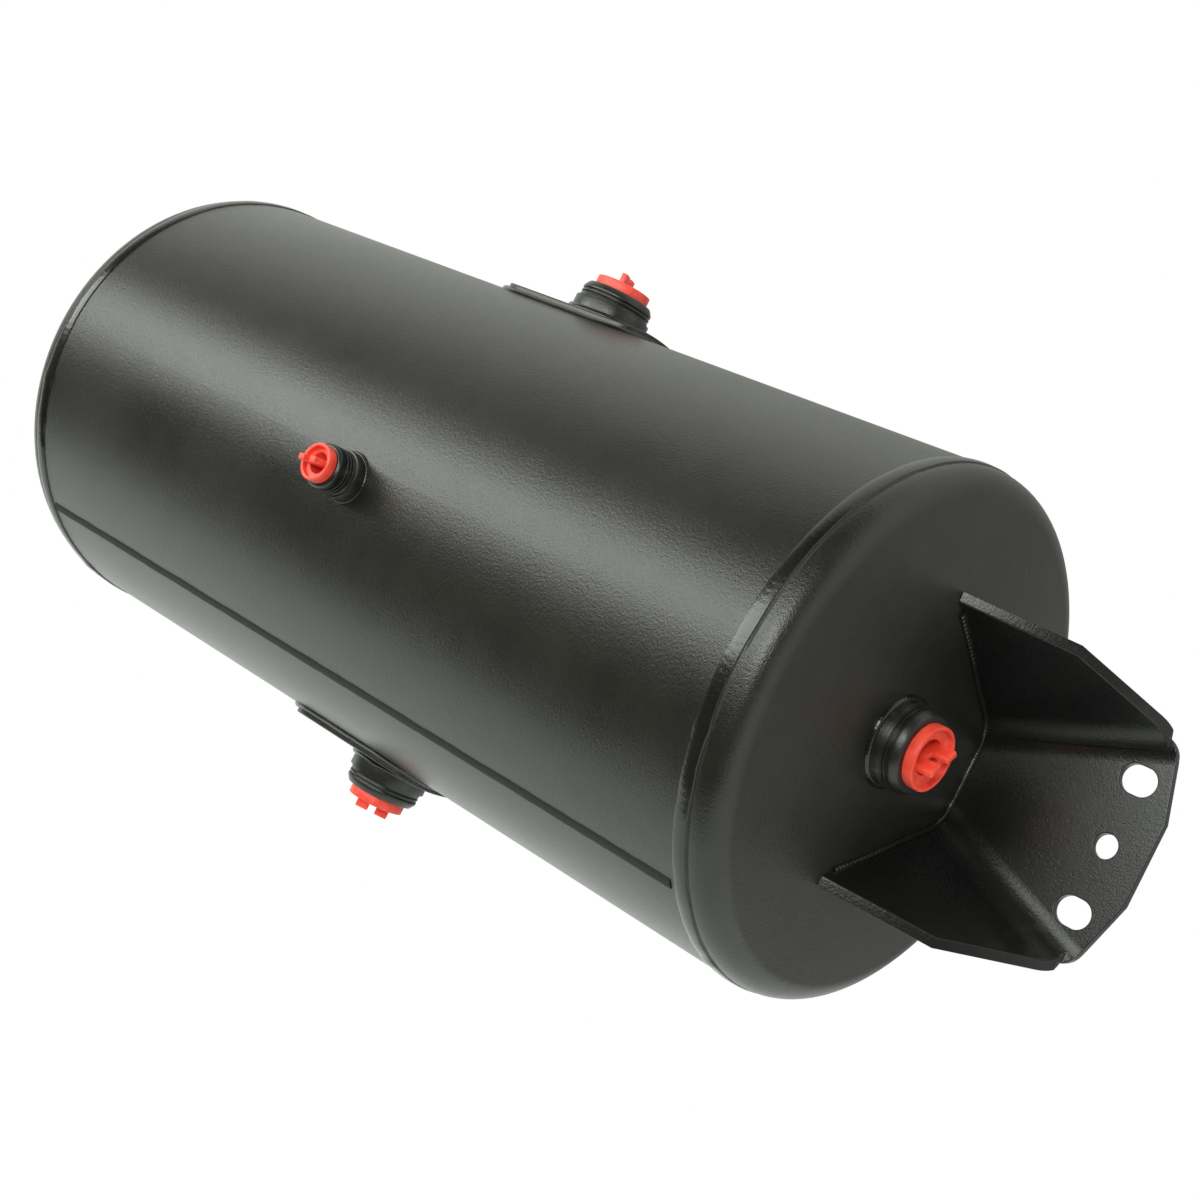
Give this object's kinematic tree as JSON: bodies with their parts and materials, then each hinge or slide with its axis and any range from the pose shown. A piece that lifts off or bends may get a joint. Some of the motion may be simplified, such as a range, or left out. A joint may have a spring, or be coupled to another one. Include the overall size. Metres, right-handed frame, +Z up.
{
  "type": "hydraulic reservoir",
  "caption": "Black steel cylindrical pressure reservoir with dished ends, plugged threaded ports and a folded, slotted mounting bracket on each end.",
  "frame": {"origin": "centre of the four bracket slots, on the mounting plane of the brackets; the tank axis is 54 mm away on the -Y side", "axes": "+X along the tank axis to the front head, the one with the port; +Y out of the mounting faces, into the rail; +Z up through the top port"},
  "size_m": [0.716, 0.2751, 0.304],
  "materials": {
    "tank_paint": "satin black powder coat with a fine orange peel",
    "weld_paint": "the same coat over weld beads",
    "plug_plastic": "soft moulded red polyethylene"
  },
  "bodies": {
    "tank": {"shell": "tank_paint", "front_head": "tank_paint", "rear_head": "tank_paint", "front_bracket": "tank_paint", "rear_bracket": "tank_paint", "top_pad": "tank_paint", "bottom_pad": "tank_paint", "top_port": "tank_paint", "bottom_port": "tank_paint", "side_port": "tank_paint", "front_port": "tank_paint", "seam_weld": "weld_paint", "front_girth_weld": "weld_paint", "rear_girth_weld": "weld_paint", "front_bracket_weld": "weld_paint", "rear_bracket_weld": "weld_paint", "top_pad_weld": "weld_paint", "bottom_pad_weld": "weld_paint", "top_port_weld": "weld_paint", "bottom_port_weld": "weld_paint", "side_port_weld": "weld_paint", "front_port_weld": "weld_paint"},
    "top_plug_body": {"top_plug": "plug_plastic"},
    "bottom_plug_body": {"bottom_plug": "plug_plastic"},
    "side_plug_body": {"side_plug": "plug_plastic"},
    "front_plug_body": {"front_plug": "plug_plastic"}
  },
  "joints": [
    {"name": "top_plug_pull", "type": "slide", "parent": "tank", "child": "top_plug_body", "axis": [0, 0, 1], "range_m": [0, 0.03]},
    {"name": "bottom_plug_pull", "type": "slide", "parent": "tank", "child": "bottom_plug_body", "axis": [0, 0, -1], "range_m": [0, 0.03]},
    {"name": "side_plug_pull", "type": "slide", "parent": "tank", "child": "side_plug_body", "axis": [0, -1, 0], "range_m": [0, 0.03]},
    {"name": "front_plug_pull", "type": "slide", "parent": "tank", "child": "front_plug_body", "axis": [1, 0, 0], "range_m": [0, 0.03]}
  ]
}
